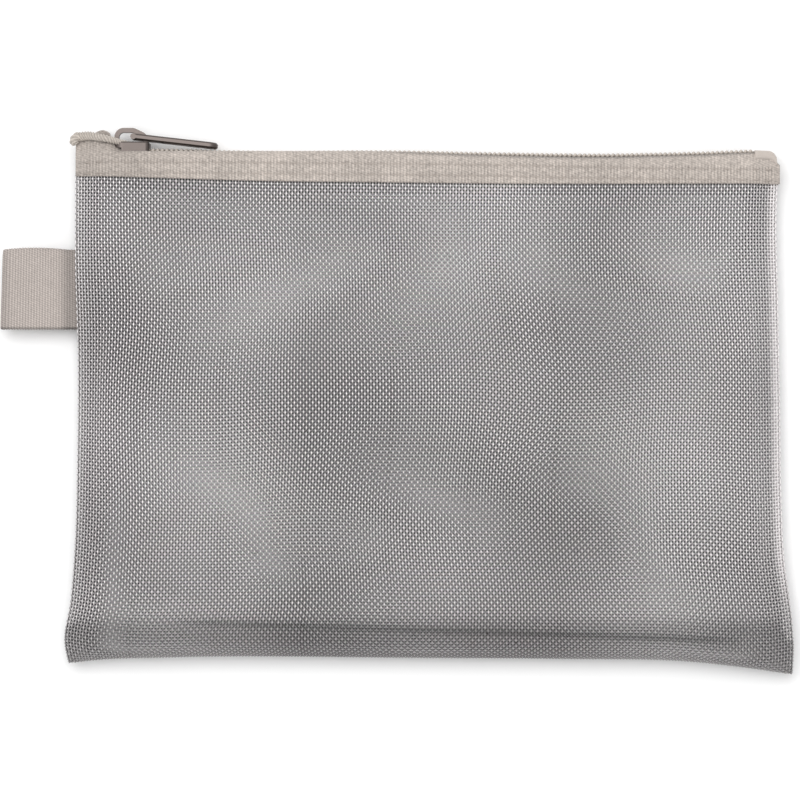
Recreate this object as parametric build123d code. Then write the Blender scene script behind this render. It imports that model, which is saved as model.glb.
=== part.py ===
from build123d import *
import math
import os

# A see-through zip pouch that lies on its back: X to the right, Y towards the zip, Z out of its front

# Pouch body, one rectangle of open mesh folded at the bottom and sewn up at both sides
mouth_width = 144.0
pouch_height = 103.0
mesh_thickness = 0.4
crown_height = 12.6
shoulder_height = 11.0
fold_height = 4.9
fold_reach = 5.9
back_rise_length = 12.0
straight_width = 106.0
left_flare = 2.1
right_flare = 3.7
left_corner_drop = 0.9
right_corner_drop = 3.0
pinch_power = 2.2
pinch_shares = (0.0, 0.35, 0.66, 0.85, 1.0)
zip_pinch_share = pinch_shares[2]
quarter_share = math.sqrt(0.5)

# Openings in the two panels, a plain grid in place of the weave
weave_columns = 6
weave_rows = 5
weave_margin = 2.0
weave_open_share = 0.53

# Side seams, with the cut edges turned to the inside
seam_half_thickness = 1.35
seam_width = 4.2
seam_bulge = 0.1
seam_gap = 0.05

# Zip tapes, one along each lip of the mouth
tape_thickness = 0.6
tape_band = 6.0
tape_bend_radius = 1.2
tape_edge_gap = 1.2
zip_half_depth = 4.8
back_lift = 0.2
mesh_overlap = 4.2
lip_clearance = 0.15
lip_slider_gap = 0.3
lip_end_gap = 0.15

# Coil rows, drawn as interlocking teeth on a heel
coil_pitch = 0.97
coil_height = 1.0
coil_reach = 1.9
coil_heel = 0.5
tooth_interlock = 0.35
tooth_neck = 0.38
tooth_head = 0.44
chain_end_gap = 5.4
coil_parting_angle = 8.5
back_row_shift_share = 0.5

# Cloth strip that closes the right-hand end of the chain
end_tab_thickness = 0.7
end_tab_round = 0.3

# Slider that runs on the chain
slider_length = 7.6
slider_front_half = 3.95
slider_rear_half = 2.95
slider_front_round = 2.0
slider_rear_round = 0.9
slider_mouth = 2.0
slider_start_gap = 7.5
slider_running_gap = 0.25
slider_flange = 0.75
slider_top_plate = 1.25
slider_bottom_plate = 0.9
slider_edge_bevel = 0.25
neck_length = 2.6
neck_half = 0.42
neck_setback = 0.6
bridge_height = 2.95
bridge_crest = 0.6
bridge_tail = 1.6
bridge_inset = 0.35
bridge_thickness = 0.95
bridge_width = 1.8
bridge_round = 1.9

# Pull tab hanging in the slider's bridge
pull_length = 17.3
pull_width = 4.6
pull_thickness = 1.2
pull_tip_round = 1.7
pull_edge_bevel = 0.3
pull_eye_length = 4.2
pull_eye_width = 2.5
pull_panel_depth = 0.25
pull_panel_margin = 0.8
pull_slot_length = 3.0
pull_slot_width = 1.6
pull_slot_margin = 1.5
pull_pivot_back = 2.95
pull_pivot_rise = 1.15
pull_rest_gap = 0.1

# Webbing tab sewn into the left side seam
webbing_width = 16.6
webbing_thickness = 0.8
webbing_y = 24.3
webbing_reach = 14.8
webbing_fold_radius = 1.9
webbing_tail = 4.0
webbing_hinge_gap = 0.25

# One overrun for every cut
overrun = 2.0

# Places that follow from the sizes above
zip_top = pouch_height / 2
fold_line = -pouch_height / 2
tape_low = zip_top - tape_band
mesh_top = tape_low + mesh_overlap
chain_z = back_lift + zip_half_depth
front_edge_z = chain_z + zip_half_depth - tape_thickness - lip_clearance
back_edge_z = chain_z - zip_half_depth + tape_thickness + seam_gap
end_run = (mouth_width - straight_width) / 2
zip_straight_half = straight_width / 2 + end_run * zip_pinch_share
coil_top = zip_top + coil_height
chain_half = mouth_width / 2 - chain_end_gap
slider_x = slider_start_gap + slider_length / 2 - mouth_width / 2
lip_width = mouth_width - 2 * (slider_start_gap + slider_length + lip_slider_gap)


def upright(sketch, low, high):
    """Stand a sketch, drawn in X and in Z from the chain, between two heights in Y."""
    floor = Plane(origin=(0, low, chain_z), x_dir=(1, 0, 0), z_dir=(0, -1, 0))
    return extrude(floor * sketch, amount=high - low, dir=(0, 1, 0))


def lengthwise(sketch, start, end):
    """Run a sketch, drawn in Y and Z, along X."""
    return extrude(Plane.YZ.offset(start) * sketch, amount=end - start, dir=(1, 0, 0))


def between(a, b, share):
    return a + (b - a) * share


def wall_points(station, corner_drop, inset):
    """Points in Y and Z along one face of the folded mesh, from the front mouth round to the back."""
    squeeze = station**pinch_power
    lip_squeeze = max(0, (station - zip_pinch_share) / (1 - zip_pinch_share))
    seam_front = chain_z + seam_half_thickness
    seam_back = chain_z - seam_half_thickness
    lip_front = between(front_edge_z, seam_front, lip_squeeze) - inset
    lip_back = between(back_edge_z, seam_back, lip_squeeze) + inset
    crown = between(crown_height, seam_front + seam_bulge, squeeze) - inset
    shoulder = between(shoulder_height, seam_front, squeeze) - inset
    flat = between(0, seam_back, squeeze) + inset
    fold_z = between(fold_height, chain_z, squeeze)
    reach = between(fold_reach, seam_half_thickness, squeeze)
    fold_y = fold_line - corner_drop * squeeze
    bend_y = fold_y + reach - (reach - inset) * quarter_share
    return [
        (mesh_top, lip_front),
        (tape_low, lip_front),
        (0, crown),
        (fold_y + reach, shoulder),
        (bend_y, between(fold_z, shoulder, quarter_share)),
        (fold_y + inset, fold_z),
        (bend_y, between(fold_z, flat, quarter_share)),
        (fold_y + reach, flat),
        (tape_low - back_rise_length, flat),
        (tape_low, lip_back),
        (mesh_top, lip_back),
    ]


def side_x(side, station, flare, y):
    """Place in X of a station at height y: the sides lean out towards the bottom corners."""
    lean = flare * station * (tape_low - y) / (tape_low - fold_line)
    return side * (straight_width / 2 + end_run * station + lean)


def wall_edges(side, station, flare, points):
    p = [Vector(side_x(side, station, flare, y), y, z) for y, z in points]
    return [
        Line(p[0], p[1]),
        ThreePointArc(p[1], p[2], p[3]),
        ThreePointArc(p[3], p[4], p[5]),
        ThreePointArc(p[5], p[6], p[7]),
        Line(p[7], p[8]),
        Line(p[8], p[9]),
        Line(p[9], p[10]),
    ]


def wall_section(side, station, flare, corner_drop):
    """The folded mesh cut across at one station: a thin wall, open at the mouth."""
    outer = wall_edges(side, station, flare, wall_points(station, corner_drop, 0))
    inner = wall_edges(side, station, flare, wall_points(station, corner_drop, mesh_thickness))
    front_rim = Line(outer[0] @ 0, inner[0] @ 0)
    back_rim = Line(outer[-1] @ 1, inner[-1] @ 1)
    return Face(Wire([*outer, back_rim, *reversed(inner), front_rim]))


def weave_openings(columns, rows, low, high):
    """Bars that cut a plain grid of openings through one panel, between two heights in Z."""
    panel_low = fold_line + fold_reach + weave_margin
    panel_high = tape_low - weave_margin
    pitch_x = (straight_width - 2 * weave_margin) / weave_columns
    pitch_y = (panel_high - panel_low) / weave_rows
    bar = Box(weave_open_share * pitch_x, weave_open_share * pitch_y, high - low)
    middle = Pos(0, (panel_low + panel_high) / 2, (low + high) / 2)
    return [middle * place * bar for place in GridLocations(pitch_x, pitch_y, columns, rows)]


def mesh_body():
    middle = extrude(wall_section(-1, 0, 0, 0), amount=straight_width, dir=(1, 0, 0))
    middle -= weave_openings(weave_columns, weave_rows, chain_z, crown_height + overrun)
    middle -= weave_openings(weave_columns - 1, weave_rows - 1, -overrun, chain_z)
    ends = []
    for side, flare, drop in ((-1, left_flare, left_corner_drop), (1, right_flare, right_corner_drop)):
        sections = [wall_section(side, station, flare, drop) for station in pinch_shares]
        ends.append(loft(sections, ruled=True))
    return middle + ends[0] + ends[1]


def seam_strip(side, flare, corner_drop):
    """The turned-in edges of one side seam, a strip that leans with the side."""
    low = fold_line - corner_drop + 2 * seam_half_thickness
    high = mesh_top - seam_gap
    outline = []
    for y, inward in ((low, 0), (high, 0), (high, seam_width), (low, seam_width)):
        outline.append((side_x(side, 1, flare, y) - side * inward, y))
    half = seam_half_thickness - mesh_thickness - seam_gap
    plan = make_face(Polyline(*outline, close=True))
    return extrude(Plane.XY.offset(chain_z - half) * plan, amount=2 * half)


def webbing_edge():
    """The line in X where the webbing enters the left seam."""
    return side_x(-1, 1, left_flare, webbing_y)


def left_seam():
    strip = seam_strip(-1, left_flare, left_corner_drop)
    notch = Pos(webbing_edge(), webbing_y, chain_z) * Box(
        2 * (seam_width + overrun), webbing_width + 2 * seam_gap, 2 * seam_half_thickness
    )
    return strip - notch


def webbing_tails():
    """The two ends of the webbing between the layers of the seam."""
    length = webbing_tail - webbing_hinge_gap
    middle_x = webbing_edge() + webbing_hinge_gap + length / 2
    lift = (webbing_thickness + seam_gap) / 2
    tail = Box(length, webbing_width, webbing_thickness)
    return [Pos(middle_x, webbing_y, chain_z + way * lift) * tail for way in (-1, 1)]


def webbing_loop():
    """The folded webbing, a slim drop in section that is narrowest at the seam."""
    root_radius = webbing_thickness + seam_gap
    root_x = webbing_edge() - webbing_hinge_gap - root_radius
    fold_x = webbing_edge() - webbing_reach + webbing_fold_radius

    def drop(inset):
        ends = [
            Pos(root_x, 0) * Circle(root_radius - inset),
            Pos(fold_x, 0) * Circle(webbing_fold_radius - inset),
        ]
        return make_hull([edge for end in ends for edge in end.edges()])

    section = drop(0) - drop(webbing_thickness)
    return upright(section, webbing_y - webbing_width / 2, webbing_y + webbing_width / 2)


def tape_section(side):
    """The tape's cut: a band down the lip of the pouch and a flange under the coil."""
    outer = chain_z + side * zip_half_depth
    edge = chain_z + side * tape_edge_gap
    path = FilletPolyline(
        (tape_low, outer - side * tape_thickness / 2),
        (zip_top - tape_thickness / 2, outer - side * tape_thickness / 2),
        (zip_top - tape_thickness / 2, edge),
        radius=tape_bend_radius,
    )
    return trace(path, tape_thickness)


def tape_pinch(end, side):
    """The end of a tape, drawn in from the lip to the side seam."""
    full = chain_z + side * (zip_half_depth - tape_thickness / 2)
    drawn = chain_z + side * (seam_half_thickness + seam_gap + tape_thickness / 2)
    band_y = (tape_low + zip_top) / 2
    cut = Rectangle(tape_band, tape_thickness)
    start = Plane.YZ.offset(end * zip_straight_half) * Pos(band_y, full) * cut
    finish = Plane.YZ.offset(end * mouth_width / 2) * Pos(band_y, drawn) * cut
    return loft([start, finish], ruled=True)


def front_tape_lip():
    return lengthwise(tape_section(1), -lip_width / 2, lip_width / 2)


def front_tape_ends():
    start = lip_width / 2 + lip_end_gap
    left = lengthwise(tape_section(1), -zip_straight_half, -start) + tape_pinch(-1, 1)
    right = lengthwise(tape_section(1), start, zip_straight_half) + tape_pinch(1, 1)
    return [left, right]


def back_tape():
    run = lengthwise(tape_section(-1), -zip_straight_half, zip_straight_half)
    return run + tape_pinch(-1, -1) + tape_pinch(1, -1)


def tooth(side):
    """One coil element seen from above: a narrow neck with a wider head that hooks its neighbours."""
    root = side * (coil_reach - coil_heel / 2)
    tip = -side * tooth_interlock
    narrow = tooth_neck / 2
    wide = tooth_head / 2
    outline = Polyline(
        (-narrow, root),
        (-wide, 0),
        (-narrow, tip),
        (narrow, tip),
        (wide, 0),
        (narrow, root),
        close=True,
    )
    return make_face(outline)


def coil_comb(first, last, side):
    """A stretch of one coil row, on the grid of teeth that both rows share."""
    shift = 0 if side > 0 else back_row_shift_share
    heel_z = side * (coil_reach - coil_heel / 2)
    start = math.ceil((first + coil_pitch / 2) / coil_pitch - shift)
    stop = math.floor((last - coil_pitch / 2) / coil_pitch - shift)
    count = stop - start + 1
    middle = (start + stop) / 2 + shift
    heel = Pos(middle * coil_pitch, heel_z) * Rectangle(count * coil_pitch - lip_end_gap, coil_heel)
    teeth = [Pos((start + n + shift) * coil_pitch, 0) * tooth(side) for n in range(count)]
    return upright(heel + teeth, zip_top, coil_top)


def parted_comb(side):
    """The row's left end, led away from the other row where the slider has not yet joined them."""
    comb = coil_comb(-zip_straight_half, -lip_width / 2, side)
    hinge = Axis((-lip_width / 2, zip_top, chain_z), (0, 1, 0))
    return comb.rotate(hinge, side * coil_parting_angle)


def front_coil_lip():
    return coil_comb(-lip_width / 2, lip_width / 2, 1)


def front_coil_ends():
    right = coil_comb(lip_width / 2, chain_half, 1)
    return [parted_comb(1), right]


def back_coil():
    run = coil_comb(-lip_width / 2, chain_half, -1)
    return [parted_comb(-1), run]


def zip_end_tab():
    """A folded strip of cloth sewn over the right-hand end of the chain."""
    start = chain_half + lip_end_gap
    share = (start - zip_straight_half) / (mouth_width / 2 - zip_straight_half)
    end_half = seam_half_thickness + seam_gap + tape_thickness
    start_half = between(zip_half_depth, end_half, max(0, share))
    outline = Polyline(
        (start, -start_half),
        (mouth_width / 2, -end_half),
        (mouth_width / 2, end_half),
        (start, start_half),
        close=True,
    )
    strip = upright(make_face(outline), zip_top, zip_top + end_tab_thickness)
    return fillet(strip.faces().sort_by(Axis.Y)[-1].edges(), end_tab_round)


def slider_outline(front_half, rear_half, length):
    front = -length / 2
    return make_face(
        Polyline(
            (front, -front_half),
            (front, front_half),
            (-front, rear_half),
            (-front, -rear_half),
            close=True,
        )
    )


def slider_body():
    """Two plates joined by a neck, with flanges down the sides and a bridge on top."""
    plan = slider_outline(slider_front_half, slider_rear_half, slider_length)
    plan = fillet(plan.vertices().group_by(Axis.X)[0], slider_front_round)
    plan = fillet(plan.vertices().group_by(Axis.X)[-1], slider_rear_round)
    taper = (slider_front_half - slider_rear_half) / slider_length * overrun
    channel = slider_outline(
        slider_front_half - slider_flange + taper / 2,
        slider_rear_half - slider_flange - taper / 2,
        slider_length + overrun,
    )
    tape_floor = zip_top - tape_thickness - slider_running_gap
    tape_roof = zip_top + slider_running_gap
    ceiling = coil_top + slider_running_gap
    top = ceiling + slider_top_plate
    lower = upright(plan, tape_floor - slider_bottom_plate, tape_floor)
    upper = upright(plan, ceiling, top)
    lower = chamfer(lower.faces().sort_by(Axis.Y)[0].edges(), slider_edge_bevel)
    upper = chamfer(upper.faces().sort_by(Axis.Y)[-1].edges(), slider_edge_bevel)
    sides = Pos(slider_mouth / 2, 0) * Rectangle(slider_length - slider_mouth, 2 * slider_front_half)
    flanges = upright((plan - channel) & sides, tape_roof, ceiling)
    neck_front = neck_setback - slider_length / 2
    neck_plan = make_face(
        Polyline(
            (neck_front, 0),
            (neck_front + neck_length * (1 - quarter_share), neck_half),
            (neck_front + neck_length, 0),
            (neck_front + neck_length * (1 - quarter_share), -neck_half),
            close=True,
        )
    )
    neck = upright(neck_plan, tape_floor, ceiling)
    bridge_half = slider_length / 2 - bridge_inset
    sunk = slider_top_plate / 2
    foot = -sunk - bridge_thickness
    arch = make_face(
        Polyline(
            (-bridge_half, foot),
            (-bridge_half, bridge_height),
            (bridge_crest, bridge_height),
            (bridge_half, bridge_tail),
            (bridge_half, foot),
            close=True,
        )
    )
    crown = [corner for row in arch.vertices().group_by(Axis.Y)[1:] for corner in row]
    arch = fillet(crown, bridge_round)
    window = offset(arch, amount=-bridge_thickness)
    standing = Pos(0, (bridge_height - sunk) / 2) * Rectangle(2 * bridge_half, bridge_height + sunk)
    hoop = Pos(0, top) * ((arch - window) & standing)
    bridge = extrude(Plane.XY.offset(chain_z - bridge_width / 2) * hoop, amount=bridge_width)
    return Pos(slider_x, 0, 0) * (lower + upper + flanges + neck + bridge)


def pull_tab():
    """A flat pull whose end bar turns in the bridge, resting with its tip on the chain."""
    top = coil_top + slider_running_gap + slider_top_plate
    pivot_x = slider_x + slider_length / 2 - bridge_inset - pull_pivot_back
    pivot_y = top + pull_pivot_rise
    drop = pivot_y - coil_top - pull_rest_gap - pull_thickness / 2
    slope = math.asin(drop / pull_length)
    bar_radius = pull_thickness / 2
    along = (math.cos(slope), -math.sin(slope), 0)
    up = (math.sin(slope), math.cos(slope), 0)
    plane = Plane(origin=(pivot_x, pivot_y, chain_z), x_dir=along, z_dir=up)
    plate = Pos(pull_length / 2, 0) * Rectangle(pull_length, pull_width)
    tip = plate.vertices().group_by(Axis.X)[-1]
    plate = fillet(tip, pull_tip_round)
    eye_end = bar_radius + pull_eye_length
    eye = Pos(eye_end / 2, 0) * Rectangle(eye_end, pull_eye_width)
    slot_x = pull_length - pull_slot_margin - pull_slot_length / 2
    slot = Pos(slot_x, 0) * SlotOverall(pull_slot_length, pull_slot_width)
    panel_start = eye_end + pull_panel_margin
    panel_end = slot_x - pull_slot_length / 2 - pull_panel_margin
    panel = Pos((panel_start + panel_end) / 2, 0) * RectangleRounded(
        panel_end - panel_start, pull_width - 2 * pull_panel_margin, pull_panel_margin
    )
    blade = extrude(plane.offset(-bar_radius) * plate, amount=pull_thickness)
    layers = blade.faces().sort_by(Axis((0, 0, 0), up))
    blade = chamfer(layers[0].edges() + layers[-1].edges(), pull_edge_bevel)
    blade -= extrude(plane.offset(-bar_radius) * (eye + slot), amount=pull_thickness)
    for face_height, way in ((bar_radius, -1), (-bar_radius, 1)):
        blade -= extrude(plane.offset(face_height) * panel, amount=way * pull_panel_depth)
    bar = extrude(
        Plane.XY.offset(chain_z - pull_width / 2) * Pos(pivot_x, pivot_y) * Circle(bar_radius),
        amount=pull_width,
    )
    return blade + bar


def nodes():
    return {
        "mesh_body": mesh_body(),
        "left_seam": left_seam(),
        "right_seam": seam_strip(1, right_flare, right_corner_drop),
        "front_tape": front_tape_lip(),
        "front_tape_ends": front_tape_ends(),
        "back_tape": back_tape(),
        "front_coil": front_coil_lip(),
        "front_coil_ends": front_coil_ends(),
        "back_coil": back_coil(),
        "zip_end_tab": zip_end_tab(),
        "slider_body": slider_body(),
        "pull_tab": pull_tab(),
        "hang_tab": webbing_loop(),
        "hang_tab_tails": webbing_tails(),
    }


def main():
    os.makedirs("parts", exist_ok=True)
    for name, shape in nodes().items():
        solids = shape if isinstance(shape, list) else [shape]
        solids = [solid for piece in solids for solid in piece.solids()]
        export_step(Compound(children=solids) if len(solids) > 1 else solids[0], f"parts/{name}.step")


if __name__ == "__main__":
    main()
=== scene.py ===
import math

import bpy
import numpy as np
from bpy.props import FloatProperty, FloatVectorProperty, PointerProperty
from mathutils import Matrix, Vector


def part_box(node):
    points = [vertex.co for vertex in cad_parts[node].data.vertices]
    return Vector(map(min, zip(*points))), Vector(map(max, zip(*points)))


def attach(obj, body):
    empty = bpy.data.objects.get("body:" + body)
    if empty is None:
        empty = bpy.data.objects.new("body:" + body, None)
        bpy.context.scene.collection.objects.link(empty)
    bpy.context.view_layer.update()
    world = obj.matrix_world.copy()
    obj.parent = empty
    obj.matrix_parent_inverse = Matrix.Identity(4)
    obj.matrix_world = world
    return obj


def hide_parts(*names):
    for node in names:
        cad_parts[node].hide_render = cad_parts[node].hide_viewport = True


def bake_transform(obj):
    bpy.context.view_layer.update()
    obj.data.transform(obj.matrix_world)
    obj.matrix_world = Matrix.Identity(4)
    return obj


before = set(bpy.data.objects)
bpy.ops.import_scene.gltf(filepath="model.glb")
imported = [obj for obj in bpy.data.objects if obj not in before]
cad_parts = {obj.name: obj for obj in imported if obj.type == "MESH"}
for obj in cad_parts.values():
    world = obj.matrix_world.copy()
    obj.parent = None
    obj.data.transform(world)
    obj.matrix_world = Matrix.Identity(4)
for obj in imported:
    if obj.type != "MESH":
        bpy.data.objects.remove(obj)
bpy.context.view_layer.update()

bl_info = {
    "name": "Mesh zip wallet",
    "version": (1, 0, 0),
    "blender": (4, 5, 0),
    "location": "3D View > Sidebar > Wallet",
    "description": "Dresses the frame of a see-through zip wallet in woven mesh, ribbed tape and coil",
    "category": "Object",
}

# Places read from the frame, in metres
back_tape_low, back_tape_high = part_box("back_tape")
_, lip_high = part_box("front_tape")
tab_low, tab_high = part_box("hang_tab")
end_tab_low, end_tab_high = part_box("zip_end_tab")
TAPE_LOW = back_tape_low.y
ZIP_TOP = back_tape_high.y
HALF_MOUTH = back_tape_high.x
BACK_FACE = back_tape_low.z
FRONT_FACE = lip_high.z
CHAIN_Z = (BACK_FACE + FRONT_FACE) / 2
HALF_DEPTH = (FRONT_FACE - BACK_FACE) / 2
TAB_Y = (tab_low.y + tab_high.y) / 2
TAB_WIDTH = tab_high.y - tab_low.y

# Outline of the pouch, as pairs of a place and the edge there
LEFT_EDGE = (
    (-0.0549, -0.0732), (-0.0525, -0.0735), (-0.0488, -0.0742), (-0.0398, -0.0730), (-0.0300, -0.0722),
    (-0.0100, -0.0716), (0.0120, -0.0715), (0.0300, -0.0720), (0.0455, -0.0720),
)
RIGHT_EDGE = (
    (-0.0549, 0.0746), (-0.0490, 0.0748), (-0.0440, 0.0745), (-0.0398, 0.0740), (-0.0316, 0.0729),
    (-0.0193, 0.0723), (0.0012, 0.0720), (0.0217, 0.0716), (0.0400, 0.0713), (0.0455, 0.0715),
)
BOTTOM_EDGE = (
    (-0.0720, -0.0525), (-0.0670, -0.0519), (-0.0518, -0.0513), (0.0000, -0.0514),
    (0.0270, -0.0516), (0.0520, -0.0522), (0.0620, -0.0533), (0.0720, -0.0548),
)
# Height of the front panel in the middle, from the mouth down to the shoulder over the fold
FRONT_RISE = ((0.0, 0.0088), (0.22, 0.0114), (0.50, 0.0123), (0.75, 0.0122), (0.92, 0.0116), (1.0, 0.0109))
STRAIGHT_HALF = 0.053
TAPE_STRAIGHT = 0.0655
PINCH_POWER = 2.2
FOLD_REACH = 0.0059
FOLD_Z = 0.0050
BACK_REST = 0.00028
BACK_LIP = 0.0011
BEHIND_TAPE = 0.0007
SEAM_HALF = 0.00115
SEAM_ROUND = 0.0013
SEAM_TURN = 0.0005
SEAM_FLAT = 0.28
LIP_SHARE = 0.25
LINE_STEPS, FOLD_STEPS = 161, 41
# Soft creases in the front panel: from, to, half width and height
CREASES = (
    ((-0.046, 0.036), (-0.030, 0.046), 0.0035, 0.00045),
    ((-0.066, 0.010), (-0.040, 0.040), 0.0060, 0.00040),
    ((-0.070, -0.046), (-0.050, -0.030), 0.0040, 0.00050),
    ((0.072, -0.048), (0.046, -0.032), 0.0045, 0.00055),
    ((0.066, 0.040), (0.044, 0.020), 0.0050, 0.00040),
    ((-0.010, 0.044), (0.004, 0.020), 0.0050, -0.00035),
)
CREASE_FADES = (-0.3, 0.5), (1.3, -0.5)
# Waves over the panels: an amount, and for each wave its rate across, its rate up and its shift
FRONT_RIPPLE = (0.00022, (150, 34, 0.8), (-22, 95, 0.3))
BACK_RIPPLE, BACK_WAVE = 0.0005, (120, 70, 0.0)
DRIFT_X = ((0.0006, 23, 74, 0.5), (0.0003, -40, 151, 1.9))
DRIFT_Y = ((0.0006, 81, -31, 2.2), (0.0003, 163, 35, 0.0))
# Rows of threads that stay put at the fold, and rows over which the drift and the creases set in
HELD_ROWS, DRIFT_ROWS, FOLD_ROWS, CREASE_ROWS = 10, 60, 40, 25
TAB_HOLD = (0.003, -0.002)
# Painted light on the threads: sharpness of a crown, share in a dip, brightness of the weaker threads and of both at a
# side
CROWN_POWER = 1.6
DIP_SHARE = 0.11
WEAK_CROWN = 0.26
SIDE_CROWN = 0.5
# Where the painted highlight spots of the level threads show: a start and a run, the lean of their border, their least
# and their gain
SPOTS_RIGHT, SPOTS_TOP, SPOTS_LEAN = (0.002, 0.012), (0.037, -0.008), 0.25
SPOTS_LEAST, SPOTS_GAIN, SPOTS_LOW = 0.25, 0.45, (0.004, -0.020)
SPOT_LEAST, SPOT_GAIN = 0.04, 0.58
# Softer painted light at the two sides: a strength, and the start and run in from the edge
SOFT_RIGHT, SOFT_LEFT = (0.5, 0.0090, -0.0060), (0.4, 0.0070, -0.0040)
# Drawn light and shade on the mesh: strengths, and the start and run of each
SEAM_REACH = (0.0026, -0.0020)
RIGHT_PALE, LEFT_PALE, LEAST_PALE = (0.85, -0.0500, 0.0200), 0.15, 0.02
ZIP_SHADE, ZIP_SHADE_ROWS = 0.90, (-13, 8)
FOLD_SHADE, FOLD_SHADE_Y = 0.40, (-0.0415, -0.0045)
CREASE_SHADE, CREASE_Y, CREASE_SLOPE, CREASE_HALF = 0.35, 0.0456, 0.033, 0.0006
CREASE_START, CREASE_END = (-0.054, 0.01), (0.066, -0.01)
BLOOM, RIGHT_BLOOM, LEFT_BLOOM = 0.06, (0.12, 0.025, 0.03), (0.08, -0.020, -0.02)
TOP_BLOOM, TOP_BLOOM_X = (0.17, 0.012, 0.02), (0.040, -0.03)
CLOUD = (0.08, (96, 61, 0.4), (-37, 83, 1.3))
THREAD_SIDES = 4
# Half of a strip's own map is for its upright threads and half for its level ones
MAP_HALF = 0.49

# Zip tape section
TAPE_BEND = 0.0012
EDGE_GAP = 0.0012
SEAM_DEPTH = 0.0017
PART_SHARE = 0.87
BEND_SHARE = 0.6
EDGE_ROUND = 0.6
FACE_STEPS, BEND_STEPS, FLANGE_STEPS = 25, 7, 6
# Drops and humps of the tapes: an amount, and the start and run along the zip or in from its ends
# The back tape reaches lower so that its inner side, in painted shade, shows dark through the mesh under the zip
BACK_TAPE_DROP = (0.0018, -0.003, -0.004)
END_DROP, RIGHT_CORNER = (0.0010, 0.0698, 0.0024), (0.0014, 0.0706, 0.0014)
LEFT_HUMP, LEFT_HUMP_END = (0.0022, -0.0716, 0.0050), (-0.0642, -0.0012)
# Where the front and the back coil row leave each other: start and run
PARTING = {1: (-0.0605, 0.0052), -1: (-0.0622, 0.0050)}
# Along the zip, as pairs of a place and a value: lift of the tape's lower edge, rise of its crest, lean in degrees
TAPE_LIFT = ((-0.072, 0.00165), (-0.058, 0.00124), (-0.035, 0.00056), (-0.006, 0.00020), (0.012, 0.0), (0.072, 0.0))
TAPE_CREST = (
    (-0.0720, 0.00057), (-0.0300, 0.00057), (-0.0098, 0.00052), (0.0087, -0.00018), (0.0271, -0.00062),
    (0.0333, -0.00068), (0.0476, -0.00043), (0.0579, -0.00012), (0.0661, 0.00022), (0.0720, 0.00022),
)
TAPE_LEAN = ((-0.072, 10), (-0.050, 12), (-0.040, 21), (-0.014, 21), (0.006, 8), (0.072, 5))
# Stitch rows: height of each, how far both drop along the zip, half width of the groove and depth of a stitch in it
ROW_HEIGHTS = (0.0475, 0.0497)
ROW_DROP = ((-0.072, 0.0), (-0.057, 0.0), (-0.027, 0.0002), (0.012, 0.0006), (0.048, 0.0013), (0.072, 0.0015))
ROW_HALF = 0.00032
STITCH_SINK = 0.00006
# Shade on the tape: strengths, and the start and run of each
DULL_LEFT, DULL_WAVE = (0.14, -0.050, -0.012), (0.03, (210, 0, 1.0), (57, 0, 0.0))
INSIDE_SHADE, STITCH_SHADE = (0.93, 0.0010, -0.0012), 0.13
CREST_SHADE, CREST_X = (0.45, 0.6, 0.5), (-0.012, 0.010)
CORD_SHADE, CORD_BELOW, CORD_SHADE_HALF = (0.5, 0.002, -0.002), 0.00082, 0.00022
# Where the ribs fade: strength, start and run above the upper stitches, and start and run at the ends
RIB_FADE, RIB_END = (0.55, 0.0004, 0.0006), (-0.0013, 0.0004)
# Over-sewn left end of the coil
CORD_START = -0.0620
CORD_LINE = ((-0.0716, 0.0550), (-0.0697, 0.0552), (-0.0665, 0.0547), (-0.0640, 0.0541), (-0.0606, 0.0534))
# One turn of the coil: reach from its middle, height, place of its middle, slant and squareness
COIL_REACH, COIL_HEIGHT, COIL_MIDDLE = 0.00112, 0.00052, 0.00042
COIL_SLANT, COIL_SQUARE = 0.17, 0.7
COIL_STEPS, COIL_SIDES = 8, 6
# One stitch: how deep its middle lies and how far its ends dip, in thread diameters
STITCH_SEAT, STITCH_DIP = 0.06, 0.6
STITCH_STEPS, STITCH_SIDES = 7, 5


def mix(a, b, share):
    return a + (b - a) * share


def smooth(t):
    t = np.clip(t, 0, 1)
    return t * t * (3 - 2 * t)


def ramp(at, start, run):
    """From 0 at a start to 1 a run further on. A negative run goes the other way."""
    return smooth((at - start) / run)


def grown(at, much, start, run):
    """An amount that sets in along a ramp."""
    return much * ramp(at, start, run)


def wave(x, y, across, up, shift):
    return np.sin(x * across + y * up + shift)


def patches(x, y, much, first, second):
    """Soft spots where two waves cross."""
    return much * wave(x, y, *first) * wave(x, y, *second)


def smooth_curve(points, at):
    """A smooth line through pairs of a place and a value, read at other places."""
    xs, ys = np.array(points).T
    slopes = np.gradient(ys, xs)
    i = np.clip(np.searchsorted(xs, at) - 1, 0, len(xs) - 2)
    run = xs[i + 1] - xs[i]
    t = np.clip((at - xs[i]) / run, 0, 1)
    start = (1 + 2 * t) * (1 - t) ** 2 * ys[i] + t * (1 - t) ** 2 * run * slopes[i]
    end = t**2 * (3 - 2 * t) * ys[i + 1] + t**2 * (t - 1) * run * slopes[i + 1]
    return start + end


def unit(vectors):
    return vectors / np.linalg.norm(vectors, axis=-1, keepdims=True)


def linear(red, green, blue):
    """A colour as the eye reads it, 0 to 255, turned into the numbers that shaders use."""
    share = np.array((red, green, blue)) / 255
    return tuple(np.where(share <= 0.04045, share / 12.92, ((share + 0.055) / 1.055) ** 2.4).tolist())


def length(name, description, default):
    return FloatProperty(name=name, description=description, default=default, min=0, precision=5, unit="LENGTH")


def colour(name, description, default):
    return FloatVectorProperty(
        name=name, description=description, default=linear(*default), min=0, max=1, size=3, subtype="COLOR"
    )


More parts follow.
